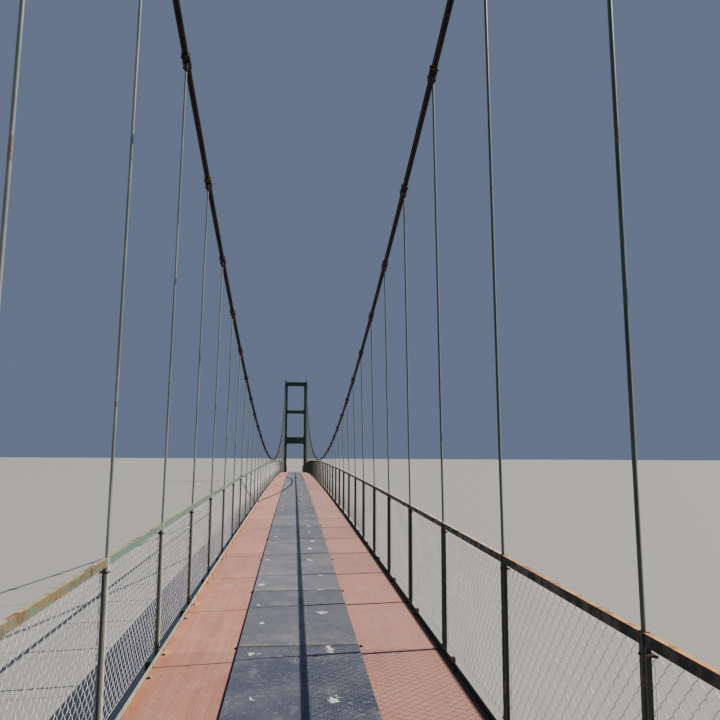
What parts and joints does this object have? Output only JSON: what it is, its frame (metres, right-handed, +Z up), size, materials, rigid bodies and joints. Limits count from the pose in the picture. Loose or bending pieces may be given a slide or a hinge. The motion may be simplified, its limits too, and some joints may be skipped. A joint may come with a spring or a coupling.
{
  "type": "rope suspension footbridge, 1:10 scale model",
  "caption": "Suspension footbridge, 1:10 scale: steel plate deck, mesh railings and rod hangers under two main cables over steel towers.",
  "frame": {"origin": "on the ground under the middle of the span, on the bridge's centre line", "axes": "+Y along the bridge from the near tower to the far tower, +Z up, +X to a walker's right"},
  "size_m": [0.46, 13.52, 1.2396],
  "materials": {
    "deck_paint": "worn red oxide paint on chequered plate, matt",
    "strip_steel": "worn blue-grey paint on chequered plate, satin where walked on",
    "under_steel": "dark rust-stained paint, matt",
    "railing_paint": "weathered green paint with rust along the edges",
    "chain_link": "galvanised wire, dull",
    "wire_rope": "dark greased and rusted wire rope",
    "tower_paint": "dark green paint, satin",
    "saddle_iron": "weathered dark iron",
    "concrete": "plain cast concrete, stained"
  },
  "bodies": {
    "root": {"deck_frame_1": "under_steel", "deck_plates_1": "deck_paint", "centre_strip_1": "strip_steel", "left_railing_1": "railing_paint", "left_mesh_1": "chain_link", "right_railing_1": "railing_paint", "right_mesh_1": "chain_link", "deck_frame_2": "under_steel", "deck_plates_2": "deck_paint", "centre_strip_2": "strip_steel", "left_railing_2": "railing_paint", "left_mesh_2": "chain_link", "right_railing_2": "railing_paint", "right_mesh_2": "chain_link", "deck_frame_3": "under_steel", "deck_plates_3": "deck_paint", "centre_strip_3": "strip_steel", "left_railing_3": "railing_paint", "left_mesh_3": "chain_link", "right_railing_3": "railing_paint", "right_mesh_3": "chain_link", "deck_frame_4": "under_steel", "deck_plates_4": "deck_paint", "centre_strip_4": "strip_steel", "left_railing_4": "railing_paint", "left_mesh_4": "chain_link", "right_railing_4": "railing_paint", "right_mesh_4": "chain_link", "deck_frame_5": "under_steel", "deck_plates_5": "deck_paint", "centre_strip_5": "strip_steel", "left_railing_5": "railing_paint", "left_mesh_5": "chain_link", "right_railing_5": "railing_paint", "right_mesh_5": "chain_link", "left_main_cable": "wire_rope", "right_main_cable": "wire_rope", "near_abutment": "concrete", "near_portal_beam": "tower_paint", "near_middle_beam": "tower_paint", "near_top_beam": "tower_paint", "near_left_leg": "tower_paint", "near_left_saddle": "saddle_iron", "near_left_anchor": "concrete", "near_right_leg": "tower_paint", "near_right_saddle": "saddle_iron", "near_right_anchor": "concrete", "far_abutment": "concrete", "far_portal_beam": "tower_paint", "far_middle_beam": "tower_paint", "far_top_beam": "tower_paint", "far_left_leg": "tower_paint", "far_left_saddle": "saddle_iron", "far_left_anchor": "concrete", "far_right_leg": "tower_paint", "far_right_saddle": "saddle_iron", "far_right_anchor": "concrete"}
  },
  "joints": []
}
